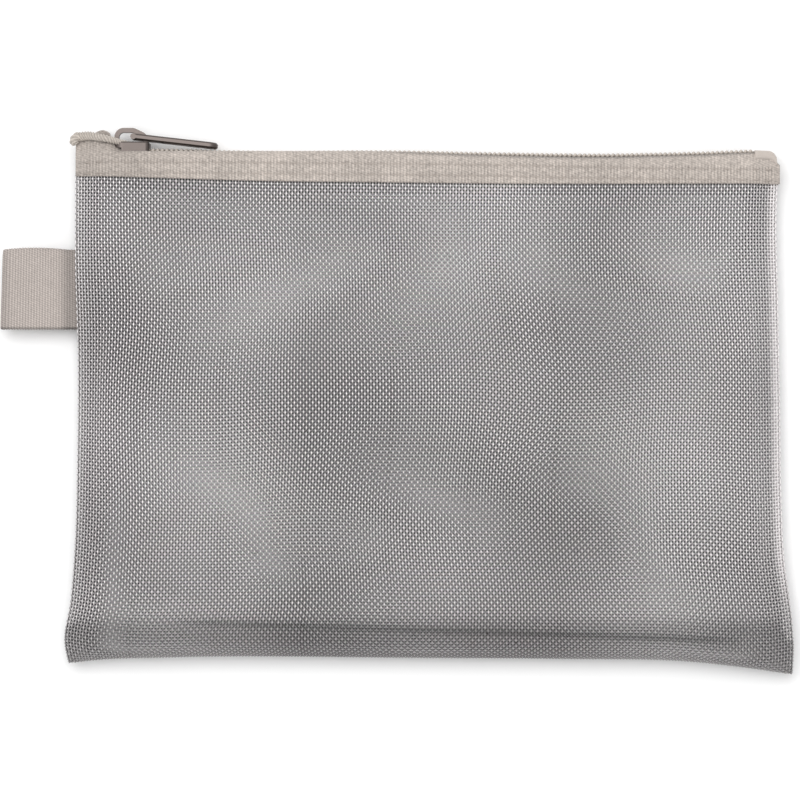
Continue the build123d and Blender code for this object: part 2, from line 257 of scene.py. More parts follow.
class WalletSizes(bpy.types.PropertyGroup):
    """Sizes of the cloth, thread and coil."""

    thread_pitch: length("Thread pitch", "From one upright mesh thread to the next", 0.000609)
    row_pitch: length("Row pitch", "From one level mesh thread to the next", 0.000655)
    thread_diameter: length("Thread diameter", "Thickness of a mesh thread", 0.00031)
    thread_crimp: length("Thread crimp", "How far a thread rises over its neighbours", 0.00014)
    seam_allowance: length("Seam allowance", "Mesh turned in at each side", 0.0042)
    tape_thickness: length("Tape thickness", "Thickness of the zip tape", 0.0006)
    tape_rib_pitch: length("Tape rib pitch", "From one rib of the tape to the next", 0.00066)
    tape_rib_depth: length("Tape rib depth", "Height of a rib of the tape", 0.00009)
    coil_pitch: length("Coil pitch", "From one turn of a coil row to the next", 0.00097)
    coil_wire: length("Coil wire", "Thickness of the coil's wire", 0.00062)
    stitch_length: length("Stitch length", "Length of one stitch on the tape", 0.0021)
    stitch_gap: length("Stitch gap", "Gap between two stitches", 0.0005)
    stitch_thread: length("Stitch thread", "Thickness of the sewing thread", 0.00026)
    cord_diameter: length("Cord diameter", "Thickness of the over-sewn coil end", 0.00155)
    webbing_thickness: length("Webbing thickness", "Thickness of the hang tab", 0.0008)
    webbing_rib_pitch: length("Webbing rib pitch", "From one rib of the webbing to the next", 0.00056)
    webbing_rib_depth: length("Webbing rib depth", "Height of a rib of the webbing", 0.00016)


class WalletColours(bpy.types.PropertyGroup):
    """Colours of the finishes."""

    # Lit and shaded copies of the mesh thread: the first is painted light on outer sides and crowns, the second is
    # painted shade on inner sides, in dips and at thread edges
    mesh: colour("Mesh", "Nylon thread of the mesh, outer side", (255, 250, 250))
    mesh_inside: colour("Mesh inside", "Nylon thread of the mesh, inner side and edges", (45, 41, 42))
    tape: colour("Tape", "Woven zip tape", (193, 183, 175))
    coil: colour("Coil", "Nylon coil", (195, 186, 177))
    stitch: colour("Stitch", "Sewing thread", (166, 156, 148))
    webbing: colour("Webbing", "Webbing of the hang tab", (190, 180, 174))
    metal: colour("Metal", "Plated slider and pull", (94, 87, 84))
    floor: colour("Floor", "Floor under the wallet", (251, 251, 251))


# Node helpers


def add_node(tree, kind, inputs=None, **settings):
    node = tree.nodes.new(kind)
    for key, value in settings.items():
        setattr(node, key, value)
    for key, value in (inputs or {}).items():
        if isinstance(value, bpy.types.NodeSocket):
            tree.links.new(value, node.inputs[key])
        else:
            node.inputs[key].default_value = value
    return node


def made_by(tree, kind, inputs=None, **settings):
    """The first output of a new node."""
    return add_node(tree, kind, inputs, **settings).outputs[0]


def node_group(name, kind, inputs, outputs):
    """A tree with its named sockets, and the nodes that bring values in and take the results out."""
    tree = bpy.data.node_groups.new(name, kind)
    for way, sockets in (("INPUT", inputs), ("OUTPUT", outputs)):
        for label, value in sockets.items():
            tree.interface.new_socket(label, in_out=way, socket_type=f"NodeSocket{value}")
    return tree, tree.nodes.new("NodeGroupInput").outputs, tree.nodes.new("NodeGroupOutput").inputs


def geometry_tree(name, inputs):
    shape = {"Geometry": "Geometry"}
    return node_group(name, "GeometryNodeTree", {**shape, **inputs, "Finish": "Material"}, shape)


def node_tree(make):
    """One shared copy of each tree, made when it is first needed."""
    return bpy.data.node_groups.get(make.__name__) or make()


def attribute(tree, name, kind="FLOAT"):
    return add_node(tree, "GeometryNodeInputNamedAttribute", {"Name": name}, data_type=kind).outputs["Attribute"]


def stored(tree, geometry, name, value, kind="FLOAT", domain="POINT"):
    """The geometry with a value kept on it under a name."""
    inputs = {"Geometry": geometry, "Name": name, "Value": value}
    return made_by(tree, "GeometryNodeStoreNamedAttribute", inputs, data_type=kind, domain=domain)


def moved(tree, geometry, offset):
    return made_by(tree, "GeometryNodeSetPosition", {"Geometry": geometry, "Offset": offset})


def maths(tree, operation, a, b=0.0, c=0.0):
    return made_by(tree, "ShaderNodeMath", {0: a, 1: b, 2: c}, operation=operation)


def rest_of(tree, share):
    return maths(tree, "SUBTRACT", 1.0, share)


def dot(tree, a, b):
    return add_node(tree, "ShaderNodeVectorMath", {0: a, 1: b}, operation="DOT_PRODUCT").outputs["Value"]


def scaled(tree, vector, by):
    return made_by(tree, "ShaderNodeVectorMath", {0: vector, "Scale": by}, operation="SCALE")


def close_tree(tree, geometry, finish, result):
    """Realise, smooth and paint the result of a tree."""
    real = made_by(tree, "GeometryNodeRealizeInstances", {"Geometry": geometry})
    shaded = made_by(tree, "GeometryNodeSetShadeSmooth", {"Geometry": real})
    painted = made_by(tree, "GeometryNodeSetMaterial", {"Geometry": shaded, "Material": finish})
    tree.links.new(painted, result["Geometry"])
    return tree


def weave_tree():
    """Turns a grid of edges into crossing threads that pass over and under each other."""
    tree, given, result = geometry_tree("weave_tree", {"Diameter": "Float", "Crimp": "Float"})
    radius = maths(tree, "MULTIPLY", given["Diameter"], 0.5)
    ring = made_by(tree, "GeometryNodeCurvePrimitiveCircle", {"Resolution": THREAD_SIDES, "Radius": radius})
    index = made_by(tree, "GeometryNodeInputIndex")
    ring = stored(tree, ring, "turn", maths(tree, "MULTIPLY", index, 1 / THREAD_SIDES))
    lift = attribute(tree, "lift", "FLOAT_VECTOR")
    outward = attribute(tree, "outward", "FLOAT_VECTOR")
    normal = made_by(tree, "GeometryNodeInputNormal")
    is_warp = attribute(tree, "warp", "BOOLEAN")
    not_warp = made_by(tree, "FunctionNodeBooleanMath", {0: is_warp}, operation="NOT")
    place = add_node(tree, "ShaderNodeSeparateXYZ", {0: attribute(tree, "place", "FLOAT_VECTOR")}).outputs
    around = maths(tree, "MULTIPLY", attribute(tree, "turn"), attribute(tree, "cell"))
    warp_u = maths(tree, "MULTIPLY_ADD", place[0], MAP_HALF, around)
    weft_u = maths(tree, "MULTIPLY_ADD", place[0], MAP_HALF, 0.5)
    weft_v = maths(tree, "ADD", place[1], around)
    joined = tree.nodes.new("GeometryNodeJoinGeometry")
    for cut, way, crown, u, v in (
        (not_warp, 1, "warp_crown", warp_u, place[1]),
        (is_warp, -1, "weft_crown", weft_u, weft_v),
    ):
        lines = made_by(
            tree,
            "GeometryNodeDeleteGeometry",
            {"Geometry": given["Geometry"], "Selection": cut},
            domain="EDGE",
            mode="EDGE_FACE",
        )
        curves = made_by(tree, "GeometryNodeMeshToCurve", {0: lines})
        # The crown carries the painted highlight of each thread along its length
        crowned = stored(tree, curves, "crown", attribute(tree, crown))
        bent = moved(tree, crowned, scaled(tree, lift, maths(tree, "MULTIPLY", given["Crimp"], way)))
        tube = made_by(
            tree, "GeometryNodeCurveToMesh", {"Curve": bent, "Profile Curve": ring, "Fill Caps": True}
        )
        # Facing marks where painted shade falls: on the inner side and the edges of a thread
        faced = stored(tree, tube, "facing", dot(tree, normal, outward))
        spot = made_by(tree, "ShaderNodeCombineXYZ", {0: u, 1: v})
        tree.links.new(stored(tree, faced, "OFBake", spot, "FLOAT2", "CORNER"), joined.inputs[0])
    return close_tree(tree, joined.outputs[0], given["Finish"], result)


def rib_tree():
    """Raises evenly spaced ribs along a strip of cloth."""
    tree, given, result = geometry_tree("rib_tree", {"Rib pitch": "Float", "Rib depth": "Float"})
    turns = maths(tree, "DIVIDE", attribute(tree, "run"), given["Rib pitch"])
    even = maths(tree, "COSINE", maths(tree, "MULTIPLY", turns, math.tau))
    wave = maths(tree, "MULTIPLY", even, rest_of(tree, attribute(tree, "plain")))
    height = maths(tree, "MULTIPLY", maths(tree, "MULTIPLY", wave, 0.5), given["Rib depth"])
    normal = made_by(tree, "GeometryNodeInputNormal")
    raised = moved(tree, given["Geometry"], scaled(tree, normal, height))
    marked = stored(tree, raised, "rib", maths(tree, "MULTIPLY_ADD", wave, 0.5, 0.5))
    return close_tree(tree, marked, given["Finish"], result)


def cord_tree():
    """Lays a twisted cord along a line of edges, round at its start and thinner towards its end."""
    points, strands, lobe_depth = 24, 4, 0.14
    start_share, start_scale, taper = 0.6, 1.25, 0.6
    tree, given, result = geometry_tree("cord_tree", {"Diameter": "Float", "Lay": "Float"})
    curve = made_by(tree, "GeometryNodeMeshToCurve", {0: given["Geometry"]})
    along = tree.nodes.new("GeometryNodeSplineParameter").outputs
    twist = maths(tree, "MULTIPLY", maths(tree, "DIVIDE", along["Length"], given["Lay"]), math.tau)
    turned = made_by(tree, "GeometryNodeSetCurveTilt", {"Curve": curve, "Tilt": twist})
    radius = maths(tree, "MULTIPLY", given["Diameter"], 0.5)
    ring = made_by(tree, "GeometryNodeCurvePrimitiveCircle", {"Resolution": points, "Radius": radius})
    index = made_by(tree, "GeometryNodeInputIndex")
    lobe = maths(tree, "COSINE", maths(tree, "MULTIPLY", index, math.tau * strands / points))
    here = made_by(tree, "GeometryNodeInputPosition")
    lobed = moved(tree, ring, scaled(tree, here, maths(tree, "MULTIPLY", lobe, lobe_depth)))
    marked = stored(tree, lobed, "rib", maths(tree, "MULTIPLY_ADD", lobe, 0.5, 0.5))
    start = maths(tree, "MULTIPLY", given["Diameter"], start_share)
    away = rest_of(tree, maths(tree, "MINIMUM", maths(tree, "DIVIDE", along["Length"], start), 1.0))
    rounded = maths(tree, "SQRT", rest_of(tree, maths(tree, "MULTIPLY", away, away)))
    thinner = maths(tree, "SUBTRACT", start_scale, maths(tree, "MULTIPLY", along["Factor"], taper))
    scale = maths(tree, "MULTIPLY", rounded, thinner)
    inputs = {"Curve": turned, "Profile Curve": marked, "Scale": scale, "Fill Caps": True}
    return close_tree(tree, made_by(tree, "GeometryNodeCurveToMesh", inputs), given["Finish"], result)


def row_tree():
    """Sets one element on each point of a row, turned to the row's own directions."""
    tree, given, result = geometry_tree("row_tree", {"Element": "Object"})
    shape = add_node(tree, "GeometryNodeObjectInfo", {"Object": given["Element"]}).outputs["Geometry"]
    up, along = (attribute(tree, name, "FLOAT_VECTOR") for name in ("up", "along"))
    align = "FunctionNodeAlignRotationToVector"
    stand = made_by(tree, align, {"Vector": up}, axis="Z")
    turned = made_by(tree, align, {"Rotation": stand, "Vector": along}, axis="X", pivot_axis="Z")
    inputs = {"Points": given["Geometry"], "Instance": shape, "Rotation": turned}
    return close_tree(tree, made_by(tree, "GeometryNodeInstanceOnPoints", inputs), given["Finish"], result)


# Mesh helpers


def link_mesh(name, points, edges=(), faces=()):
    mesh = bpy.data.meshes.new(name)
    mesh.from_pydata(np.asarray(points).reshape(-1, 3).tolist(), list(edges), list(faces))
    mesh.update()
    return link_object(name, mesh)


def link_object(name, data):
    piece = bpy.data.objects.new(name, data)
    bpy.context.scene.collection.objects.link(piece)
    return piece


def give(piece, name, kind, values, domain="POINT"):
    key = "vector" if kind == "FLOAT_VECTOR" else "value"
    layer = piece.data.attributes.new(name, kind, domain)
    layer.data.foreach_set(key, np.asarray(values).ravel())


# What a tree reads from its base and a finished piece no longer needs
HELPERS = ("lift", "warp_crown", "weft_crown", "outward", "place", "turn", "cell", "run", "up", "along")


def realised(base, make, values, name):
    """The plain mesh that a tree makes of a base, as a finished piece at the origin."""
    tree = node_tree(make)
    modifier = base.modifiers.new(tree.name, "NODES")
    modifier.node_group = tree
    for item in tree.interface.items_tree:
        if item.in_out == "INPUT" and item.name in values:
            modifier[item.identifier] = values[item.name]
    graph = bpy.context.evaluated_depsgraph_get()
    mesh = bpy.data.meshes.new_from_object(base.evaluated_get(graph), depsgraph=graph)
    mesh.name = name
    for helper in HELPERS:
        layer = mesh.attributes.get(helper)
        if layer is not None:
            mesh.attributes.remove(layer)
    bpy.data.objects.remove(base)
    return link_object(name, mesh)


def ring_faces(at, closed):
    """Faces between neighbouring rings of points, with the ends capped unless the rings close a loop."""
    here, there = (at, np.roll(at, -1, 0)) if closed else (at[:-1], at[1:])
    quads = np.stack((here, np.roll(here, -1, 1), np.roll(there, -1, 1), there), axis=-1).reshape(-1, 4)
    return quads.tolist() + ([] if closed else [at[0][::-1].tolist(), at[-1].tolist()])


def ring_mesh(name, rings, closed=False):
    """A closed skin over rings of points, with its faces turned outwards."""
    at = np.arange(rings.shape[0] * rings.shape[1]).reshape(rings.shape[:2])
    piece = link_mesh(name, rings, (), ring_faces(at, closed))
    mesh = piece.data
    mesh.calc_loop_triangles()
    points = np.array([v.co for v in mesh.vertices])
    corners = np.array([t.vertices for t in mesh.loop_triangles])
    a, b, c = (points[corners[:, i]] for i in range(3))
    if np.einsum("ij,ij->i", a, np.cross(b, c)).sum() < 0:
        mesh.flip_normals()
    return piece


def ribbed(name, sections, run, pitch, depth, material, shade=None, plain=None):
    """A strip of cloth through sections, each a ring of points, with ribs across it."""
    base = ring_mesh("strip", sections)
    give(base, "run", "FLOAT", np.repeat(run, sections.shape[1]))
    for label, values in (("shade", shade), ("plain", plain)):
        if values is not None:
            give(base, label, "FLOAT", values)
    return realised(base, rib_tree, {"Rib pitch": pitch, "Rib depth": depth, "Finish": material}, name)


# Materials

CLOTH = {"Sheen Weight": 0.1}
# Spread and grain are of the dye, groove is the shade between ribs, knots are pitch, step and depth of the weave,
# inner is the colour of painted shade on threads
FINISHES = {
    "mesh_nylon": dict(
        tint="mesh", spread=0.10, grain=700.0, bump=0.00001, roughness=0.30,
        settings={"Specular IOR Level": 1.0}, inner="mesh_inside",
    ),
    "tape_cloth": dict(
        tint="tape", spread=0.60, grain=2000.0, bump=0.00004, roughness=0.86,
        settings=CLOTH, groove=0.36, knots=(0.00066, 0.00047, 0.10),
    ),
    "cord_cloth": dict(
        tint="coil", spread=0.40, grain=2600.0, bump=0.00003, roughness=0.80, settings=CLOTH, groove=0.34
    ),
    "smooth_cloth": dict(tint="tape", spread=0.14, grain=5000.0, bump=0.00003, roughness=0.80, settings=CLOTH),
    "webbing_cloth": dict(
        tint="webbing", spread=0.34, grain=3000.0, bump=0.00004, roughness=0.84,
        settings=CLOTH, groove=0.38, knots=(0.00056, 0.00046, 0.20),
    ),
    "coil_nylon": dict(
        tint="coil", spread=0.10, grain=1500.0, bump=0.00001, roughness=0.45, settings={"Specular IOR Level": 0.5}
    ),
    "stitch_thread": dict(tint="stitch", spread=0.12, grain=8000.0, bump=0.00003, roughness=0.70, settings=CLOTH),
    "gunmetal": dict(
        tint="metal", spread=0.08, grain=2500.0, bump=0.000004, roughness=0.46, settings={"Metallic": 1.0}
    ),
}
ROUGHNESS_SWING = 0.06


def drawn_on(group, name):
    """A value that the mesh carries under a name."""
    return add_node(group, "ShaderNodeAttribute", attribute_name=name).outputs["Fac"]


def colour_mix(group, share, a, b):
    node = add_node(group, "ShaderNodeMix", {"Factor": share, 6: a, 7: b}, data_type="RGBA")
    return node.outputs[2]


def fibre_tone():
    """Uneven dye: a colour that drifts between lighter and darker over the surface."""
    patch_scale, patch_share, middle = 90.0, 0.3, 0.65
    sockets = {"Colour": "Color", "Spread": "Float", "Grain": "Float"}
    group, given, result = node_group("fibre_tone", "ShaderNodeTree", sockets, {"Colour": "Color", "Height": "Float"})
    place = group.nodes.new("ShaderNodeTexCoord").outputs["Object"]
    noise = "ShaderNodeTexNoise"
    patch = made_by(group, noise, {"Vector": place, "Scale": patch_scale, "Detail": 3.0})
    speck = made_by(group, noise, {"Vector": place, "Scale": given["Grain"], "Detail": 2.0})
    total = maths(group, "ADD", maths(group, "MULTIPLY", patch, patch_share), speck)
    swing = maths(group, "MULTIPLY", maths(group, "SUBTRACT", total, middle), given["Spread"])
    gain = maths(group, "MULTIPLY_ADD", swing, 2.0, 1.0)
    group.links.new(scaled(group, given["Colour"], gain), result["Colour"])
    group.links.new(speck, result["Height"])
    return group


def groove_shade():
    """Darkens the grooves between the ribs of a cloth and between its knots, and the parts that lie in shade."""
    sockets = {"Colour": "Color", "Depth": "Float", "Knots": "Vector", "Knot depth": "Float"}
    group, given, result = node_group("groove_shade", "ShaderNodeTree", sockets, {"Colour": "Color"})
    place = group.nodes.new("ShaderNodeTexCoord").outputs["Object"]
    wave = maths(group, "COSINE", dot(group, place, given["Knots"]))
    knots = maths(group, "MULTIPLY_ADD", wave, given["Knot depth"], 1.0)
    loss = maths(group, "MULTIPLY", rest_of(group, drawn_on(group, "rib")), given["Depth"])
    left = maths(group, "MULTIPLY", rest_of(group, loss), rest_of(group, drawn_on(group, "shade")))
    group.links.new(scaled(group, given["Colour"], maths(group, "MULTIPLY", left, knots)), result["Colour"])
    return group


def painted_thread_light():
    """Painted light and shade on a clear thread: light where it crowns, dark where it dips, at its edges and on its
    inner side.
    """
    edge_turn = 0.5
    sockets = {"Colour": "Color", "Painted shade": "Color", "Dip": "Float"}
    group, given, result = node_group("painted_thread_light", "ShaderNodeTree", sockets, {"Colour": "Color"})
    light = drawn_on(group, "light")
    base = colour_mix(group, maths(group, "MAXIMUM", light), given["Painted shade"], given["Colour"])
    darker = maths(group, "ADD", maths(group, "MINIMUM", light), 1.0)
    crown = maths(group, "POWER", drawn_on(group, "crown"), CROWN_POWER)
    top = made_by(group, "ShaderNodeMapRange", {"Value": crown, "To Min": given["Dip"]})
    lit = made_by(group, "ShaderNodeMath", {0: top, 1: drawn_on(group, "bloom")}, operation="ADD", use_clamp=True)
    share = made_by(
        group,
        "ShaderNodeMapRange",
        {"Value": drawn_on(group, "facing"), "From Min": -edge_turn, "From Max": edge_turn},
        interpolation_type="SMOOTHSTEP",
    )
    blend = colour_mix(group, maths(group, "MULTIPLY", share, lit), base, given["Colour"])
    group.links.new(scaled(group, blend, darker), result["Colour"])
    return group


def paint(made, tint, spread, grain, bump, roughness, settings, groove=0.0, knots=None, inner=None):
    """Give a material its drifting colour, fine grain, grooves with painted shade, and painted light and shade on its
    threads.
    """
    colours = bpy.context.scene.wallet_colours
    made.use_nodes = True
    tree = made.node_tree
    shader = tree.nodes["Principled BSDF"]
    values = {"Colour": (*getattr(colours, tint), 1), "Spread": spread, "Grain": grain}
    tone = add_node(tree, "ShaderNodeGroup", values, node_tree=node_tree(fibre_tone)).outputs
    coat = tone["Colour"]
    if groove:
        values = {"Colour": coat, "Depth": groove}
        if knots:
            pitch, step, depth = knots
            values |= {"Knots": (math.pi / pitch, math.tau / step, 0), "Knot depth": depth}
        coat = made_by(tree, "ShaderNodeGroup", values, node_tree=node_tree(groove_shade))
    # Threads blend between their lit colour and the inner colour, which is painted shade
    if inner:
        values = {"Colour": coat, "Painted shade": (*getattr(colours, inner), 1), "Dip": DIP_SHARE}
        coat = made_by(tree, "ShaderNodeGroup", values, node_tree=node_tree(painted_thread_light))
    tree.links.new(coat, shader.inputs["Base Color"])
    grain_height = tone["Height"]
    relief = made_by(tree, "ShaderNodeBump", {"Height": grain_height, "Distance": bump, "Strength": 1.0})
    tree.links.new(relief, shader.inputs["Normal"])
    ends = {"To Min": roughness - ROUGHNESS_SWING, "To Max": roughness + ROUGHNESS_SWING}
    tree.links.new(made_by(tree, "ShaderNodeMapRange", {"Value": grain_height, **ends}), shader.inputs["Roughness"])
    for key, value in settings.items():
        shader.inputs[key].default_value = value


def finish(name):
    """A material of the table, made when it is first needed."""
    made = bpy.data.materials.get(name)
    if made is None:
        made = bpy.data.materials.new(name)
        paint(made, **FINISHES[name])
    return made


# Pieces of the pouch and of the front lip


def on_pouch(piece, slot, *nodes):
    """A piece that rides on the pouch, and the nodes that it stands for."""
    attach(piece, "pouch")
    if nodes:
        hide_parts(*nodes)


def on_lip(piece, half, slot, *nodes):
    """A piece of the front lip, which bows out between its two ends."""
    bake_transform(piece)
    if nodes:
        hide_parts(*nodes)


# Mesh panels


def panel_sections(flat_x):
    """Lines of the folded mesh, one for each thread across, from the front mouth to the fold and on to the back."""
    squeeze = np.clip((np.abs(flat_x) - STRAIGHT_HALF) / (HALF_MOUTH - STRAIGHT_HALF), 0, 1)
    pinch = (squeeze**PINCH_POWER)[:, None]
    lip_start = (TAPE_STRAIGHT - STRAIGHT_HALF) / (HALF_MOUTH - STRAIGHT_HALF)
    lip_pinch = ramp(squeeze, lip_start, 1 - lip_start)[:, None]
    seam_front, seam_back = CHAIN_Z + SEAM_HALF, CHAIN_Z - SEAM_HALF
    top = (tape_low_line(flat_x) + BEHIND_TAPE)[:, None]
    fold_y = smooth_curve(BOTTOM_EDGE, flat_x)[:, None]
    reach = mix(FOLD_REACH, SEAM_HALF, pinch)
    fold_z = mix(FOLD_Z, CHAIN_Z, pinch)
    shoulder_y = fold_y + reach
    share = np.linspace(0, 1, LINE_STEPS)[None]
    turn = np.linspace(0, math.pi / 2, FOLD_STEPS)[None]
    near_lip = smooth(1 - share / LIP_SHARE)
    panel_y = mix(top, shoulder_y, share)
    front_z = mix(smooth_curve(FRONT_RISE, share), seam_front, pinch)
    front_z = mix(front_z, mix(FRONT_RISE[0][1], seam_front, lip_pinch), near_lip)
    last = front_z[:, -1:]
    front_y = np.hstack((panel_y, (shoulder_y - reach * np.sin(turn))[:, 1:]))
    front_z = np.hstack((front_z, (fold_z + (last - fold_z) * np.cos(turn))[:, 1:]))
    rest = mix(BACK_REST, seam_back, pinch)
    back_z = mix(rest, mix(BACK_LIP, seam_back, lip_pinch), near_lip)[:, ::-1]
    back_y = np.hstack((shoulder_y - reach * np.cos(turn), panel_y[:, ::-1][:, 1:]))
    back_z = np.hstack((fold_z - (fold_z - rest) * np.sin(turn), back_z[:, 1:]))
    return (front_y, front_z), (back_y, back_z)


def even_rows(y, z, rows):
    """Move along each line in equal steps."""
    out = np.empty((len(y), rows + 1, 2))
    for i in range(len(y)):
        run = np.concatenate(([0], np.cumsum(np.hypot(np.diff(y[i]), np.diff(z[i])))))
        at = np.linspace(0, run[-1], rows + 1)
        out[i] = np.stack((np.interp(at, run, y[i]), np.interp(at, run, z[i])), axis=-1)
    return out


def crease_height(x, y):
    """Soft folds that stand on the front panel."""
    total = np.zeros_like(x)
    for start, end, half_width, height in CREASES:
        way = np.subtract(end, start)
        long = np.hypot(*way)
        along = ((x - start[0]) * way[0] + (y - start[1]) * way[1]) / long**2
        off = ((x - start[0]) * way[1] - (y - start[1]) * way[0]) / long
        ends = math.prod(ramp(along, *fade) for fade in CREASE_FADES)
        total += height * np.exp(-((off / half_width) ** 2)) * ends
    return total + patches(x, y, *FRONT_RIPPLE)


def panel_grid(sizes):
    """Points, outward directions and drawn light at every crossing of the mesh's threads, turned-in edges included."""
    across = round(2 * HALF_MOUTH / sizes.thread_pitch)
    share = np.linspace(0, 1, across + 1)
    flat_x = (share - 0.5) * 2 * HALF_MOUTH
    front, back = panel_sections(flat_x)
    rows = [round(np.hypot(*np.diff(side, axis=2))[across // 2].sum() / sizes.row_pitch) for side in (front, back)]
    fold, last = rows[0], rows[0] + rows[1]
    lines = np.concatenate((even_rows(*front, rows[0]), even_rows(*back, rows[1])[:, 1:]), axis=1)
    y, z = lines[..., 0], lines[..., 1]
    x = mix(smooth_curve(LEFT_EDGE, y), smooth_curve(RIGHT_EDGE, y), share[:, None])
    row = np.arange(y.shape[1])[None]
    # The threads drift away from the mouth, the fold and the sides, where they are held
    inside = smooth((1 - np.abs(2 * share[:, None] - 1)) * 6)
    front_free = ramp(row, 0, DRIFT_ROWS) * ramp(row, fold - HELD_ROWS, -FOLD_ROWS)
    free = inside * (front_free + ramp(row, fold + HELD_ROWS, DRIFT_ROWS))
    drift_x, drift_y = (sum(much * wave(x, y, *way) for much, *way in waves) for waves in (DRIFT_X, DRIFT_Y))
    x, y = x + free * drift_x, y + free * ramp(row, last, -DRIFT_ROWS) * drift_y
    on_front, on_back = (
        ramp(row, start, CREASE_ROWS) * ramp(row, end, -CREASE_ROWS) for start, end in ((0, fold), (fold, last))
    )
    ripple = BACK_RIPPLE * (1 + wave(x, y, *BACK_WAVE)) / 2
    z = z + inside * (on_front * crease_height(x, y) + on_back * ripple)
    # The sides close to a seam, apart from where the hang tab is sewn in
    edge = np.minimum(share, 1 - share)[:, None] * 2 * HALF_MOUTH
    closing = np.sqrt(1 - (1 - np.clip(edge / SEAM_ROUND, 0, 1)) ** 2)
    held = ramp(np.abs(y - TAB_Y) - TAB_WIDTH / 2, *TAB_HOLD) * (x < 0)
    z = CHAIN_Z + (z - CHAIN_Z) * np.maximum(closing, mix(SEAM_FLAT, 1.0, held))
    points = np.stack((x, y, z), axis=-1)
    outward = unit(np.cross(np.gradient(points, axis=1), np.gradient(points, axis=0)))
    turned = round(sizes.seam_allowance / sizes.thread_pitch)
    inner = points - outward * SEAM_TURN
    between = (inner[1:] + inner[:-1]) / 2
    points = np.concatenate((between[:turned][::-1], points, between[-turned:][::-1]))
    outward = np.concatenate((outward[turned:0:-1], outward, outward[-2 : -turned - 2 : -1]))
    return points, outward, *panel_light(points, row, last)


def from_sides(points):
    """How far a point is from the left and from the right edge of the pouch, inwards."""
    x, y = points[..., 0], points[..., 1]
    return x - smooth_curve(LEFT_EDGE, y), smooth_curve(RIGHT_EDGE, y) - x


def panel_light(points, row, last):
    """Drawn light on the mesh: dark inside under the zip and round the fold, pale where the layers meet at a side."""
    x, y = points[..., 0], points[..., 1]
    left, right = (ramp(side, *SEAM_REACH) for side in from_sides(points))
    under_zip = ramp(row - last, *ZIP_SHADE_ROWS)
    roll = ramp(y, *FOLD_SHADE_Y)
    edge = right * grown(y, *RIGHT_PALE) + LEFT_PALE * left * (1 - roll)
    crease = np.exp(-(((y + CREASE_Y + CREASE_SLOPE * x) / CREASE_HALF) ** 2))
    crease = crease * ramp(x, *CREASE_START) * ramp(x, *CREASE_END)
    shadow = ZIP_SHADE * under_zip + FOLD_SHADE * roll + CREASE_SHADE * crease * (1 - under_zip)
    bloom = BLOOM + grown(x, *RIGHT_BLOOM) + grown(x, *LEFT_BLOOM)
    bloom = bloom + grown(y, *TOP_BLOOM) * ramp(np.abs(x), *TOP_BLOOM_X) + patches(x, y, *CLOUD)
    return np.where(edge > LEAST_PALE, edge, -shadow), np.maximum(bloom, 0)


def crown_light(points, over):
    """How bright the painted highlight on each thread is at a crossing: light in upright dashes at the upper left, in
    round spots elsewhere.
    """
    x, y = points[..., 0], points[..., 1]
    left, right = from_sides(points)
    low_right = ramp(x + SPOTS_LEAN * y, *SPOTS_RIGHT) * ramp(y, *SPOTS_TOP)
    spots = np.maximum(low_right, SPOTS_LEAST + SPOTS_GAIN * ramp(y, *SPOTS_LOW))
    side = grown(right, *SOFT_RIGHT) + grown(left, *SOFT_LEFT)
    top = (over + 1) / 2
    weft = mix(WEAK_CROWN * (1 - top), SPOT_LEAST + SPOT_GAIN * top, spots)
    return mix(top, SIDE_CROWN, side), mix(weft, SIDE_CROWN, side)


class WALLET_OT_mesh_panels(bpy.types.Operator):
    """Weave the mesh body from single threads, in strips side by side"""

    bl_idname = "wallet.mesh_panels"
    bl_label = "Mesh panels"
    strip_count = 9
    map_across, map_along, map_cell = (0.02, 0.97), (0.01, 0.98), 0.4

    def execute(self, context):
        sizes = context.scene.wallet_sizes
        values = {"Diameter": sizes.thread_diameter, "Crimp": sizes.thread_crimp, "Finish": finish("mesh_nylon")}
        points, outward, light, bloom = panel_grid(sizes)
        columns, rows, _ = points.shape
        over = np.where(np.add.outer(np.arange(columns), np.arange(rows)) % 2, 1.0, -1.0)
        # Painted highlights on the crowns, and painted light and shade over the panel
        warp_crown, weft_crown = crown_light(points, over)
        drawn = {"warp_crown": warp_crown, "weft_crown": weft_crown, "light": light, "bloom": bloom}
        cuts = np.linspace(0, columns, self.strip_count + 1).round().astype(int)
        for number, (start, end) in enumerate(zip(cuts[:-1], cuts[1:]), 1):
            reach = min(end + 1, columns)
            wide = reach - start
            at = np.arange(wide * rows).reshape(wide, rows)
            warp = np.stack((at[: end - start, :-1], at[: end - start, 1:]), axis=-1).reshape(-1, 2)
            weft = np.stack((at[:-1], at[1:]), axis=-1).reshape(-1, 2)
            base = link_mesh("weave", points[start:reach], np.concatenate((warp, weft)).tolist())
            give(base, "lift", "FLOAT_VECTOR", (outward * over[..., None])[start:reach])
            for name, shades in drawn.items():
                give(base, name, "FLOAT", shades[start:reach])
            give(base, "outward", "FLOAT_VECTOR", outward[start:reach])
            give(base, "warp", "BOOLEAN", np.arange(len(warp) + len(weft)) < len(warp), "EDGE")
            place = np.zeros((wide, rows, 3))
            place[..., 0] = np.linspace(*self.map_across, wide)[:, None]
            place[..., 1] = np.linspace(*self.map_along, rows)[None]
            give(base, "place", "FLOAT_VECTOR", place)
            give(base, "cell", "FLOAT", np.full(wide * rows, self.map_cell / max(wide, rows)))
            strip = realised(base, weave_tree, values, f"mesh_strip_{number}")
            ends = {1: ("mesh_body", "left_seam"), self.strip_count: ("mesh_body", "right_seam")}
            on_pouch(strip, "mesh", *ends.get(number, ()))
        return {"FINISHED"}


# Zip tapes, coil rows and their stitches


def tape_low_line(x):
    """The lower edge of the tape, which climbs a little towards the left end."""
    return TAPE_LOW + smooth_curve(TAPE_LIFT, x)


